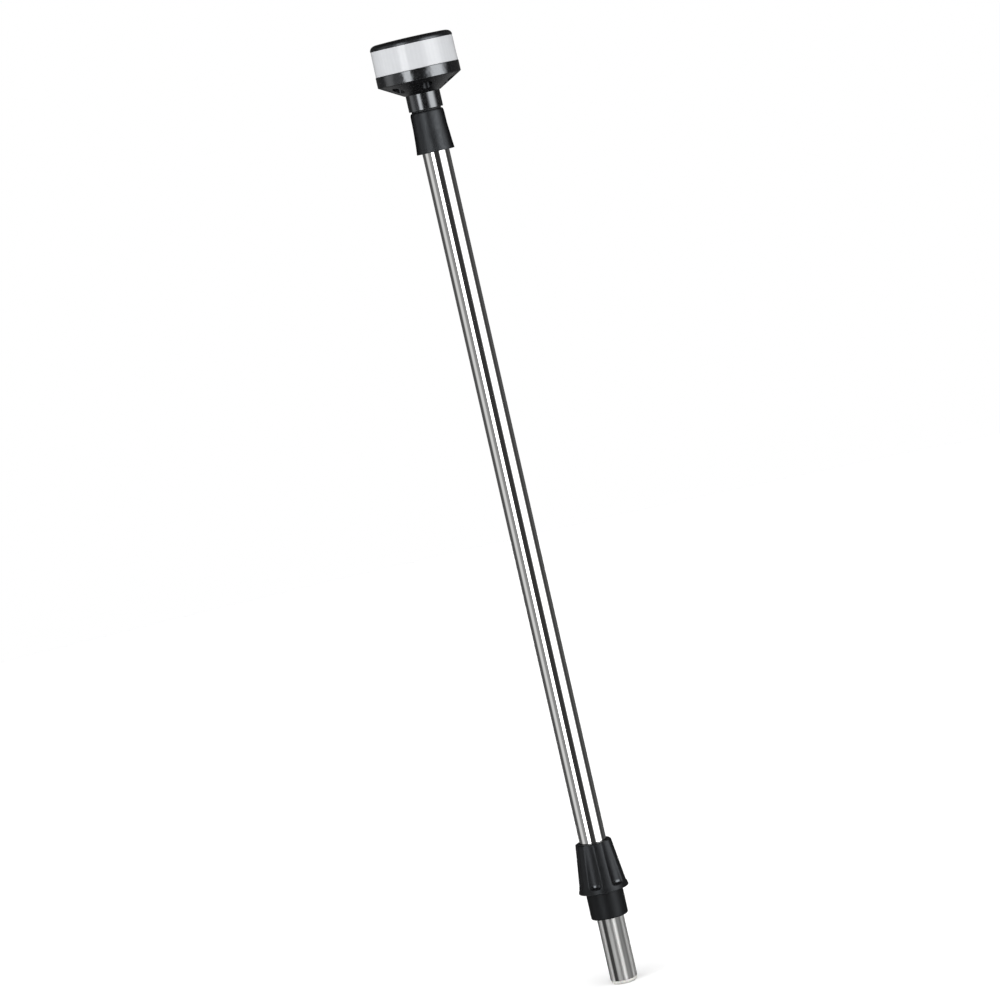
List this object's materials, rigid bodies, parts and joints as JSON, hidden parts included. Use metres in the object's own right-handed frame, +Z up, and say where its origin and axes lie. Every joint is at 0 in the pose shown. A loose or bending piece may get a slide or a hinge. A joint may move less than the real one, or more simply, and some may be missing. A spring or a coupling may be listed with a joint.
{
  "type": "navigation light",
  "caption": "Plug-in all-round navigation light: frosted lens band under a flat cap on a metal pole, with a fluted locking collar and a two-contact plug.",
  "frame": {"origin": "centre of the contact plug's lower face, the lowest point of the light", "axes": "+Z up the pole towards the light, -Y the front, +X towards the positive contact"},
  "size_m": [0.0586, 0.0586, 0.6769],
  "materials": {
    "bright_tube": "polished",
    "adapter_nylon": "matte",
    "rivet_metal": "satin",
    "seal_rubber": "satin",
    "gasket_rubber": "matte",
    "boot_rubber": "matte",
    "head_plastic": "gloss",
    "bezel_plastic": "gloss",
    "screw_steel": "satin",
    "frosted_lens": "satin",
    "cap_plastic": "gloss",
    "clear_optic": "gloss",
    "spreader_metal": "satin",
    "board_laminate": "satin",
    "emitter_phosphor": "matte",
    "component_body": "matte",
    "solder": "satin",
    "grommet_rubber": "matte",
    "cable_pvc": "satin",
    "wire_red": "satin",
    "wire_black": "satin",
    "foam": "matte",
    "tie_nylon": "satin",
    "plug_nylon": "satin",
    "contact_brass": "satin",
    "shrink_tube": "satin",
    "sleeve_plastic": "satin",
    "spring_steel": "satin",
    "washer_acetal": "satin",
    "collar_plastic": "satin"
  },
  "bodies": {
    "pole": {"pole_tube": "bright_tube", "tube_adapter": "adapter_nylon", "adapter_rivets": "rivet_metal", "adapter_seal": "seal_rubber", "neck_gasket": "gasket_rubber", "rubber_boot": "boot_rubber", "head_housing": "head_plastic", "housing_seal": "seal_rubber", "bezel_ring": "bezel_plastic", "head_screws": "screw_steel", "lens": "frosted_lens", "lens_seal": "seal_rubber", "top_cap": "cap_plastic", "cap_seal": "seal_rubber", "side_emitter": "clear_optic", "heat_spreader": "spreader_metal", "led_board": "board_laminate", "led_emitters": "emitter_phosphor", "board_components": "component_body", "solder_pads": "solder", "board_screws": "screw_steel", "cable_grommet": "grommet_rubber", "cable_jacket": "cable_pvc", "wire_positive": "wire_red", "wire_negative": "wire_black", "cable_foam": "foam", "cable_tie": "tie_nylon", "contact_plug": "plug_nylon", "contact_sockets": "contact_brass", "heat_shrinks": "shrink_tube", "plug_sleeve": "sleeve_plastic", "sleeve_rivets": "rivet_metal", "sleeve_seal": "seal_rubber", "retaining_ring": "spring_steel"},
    "thrust_washer": {"thrust_washer": "washer_acetal"},
    "locking_collar": {"locking_collar": "collar_plastic"}
  },
  "joints": [
    {"name": "collar_slide", "type": "slide", "parent": "pole", "child": "thrust_washer", "axis": [0, 0, 1], "range_m": [0, 0.49]},
    {"name": "collar_spin", "type": "hinge", "parent": "thrust_washer", "child": "locking_collar", "pos_m": [0, 0, 0.0673], "axis": [0, 0, 1], "continuous": true}
  ]
}
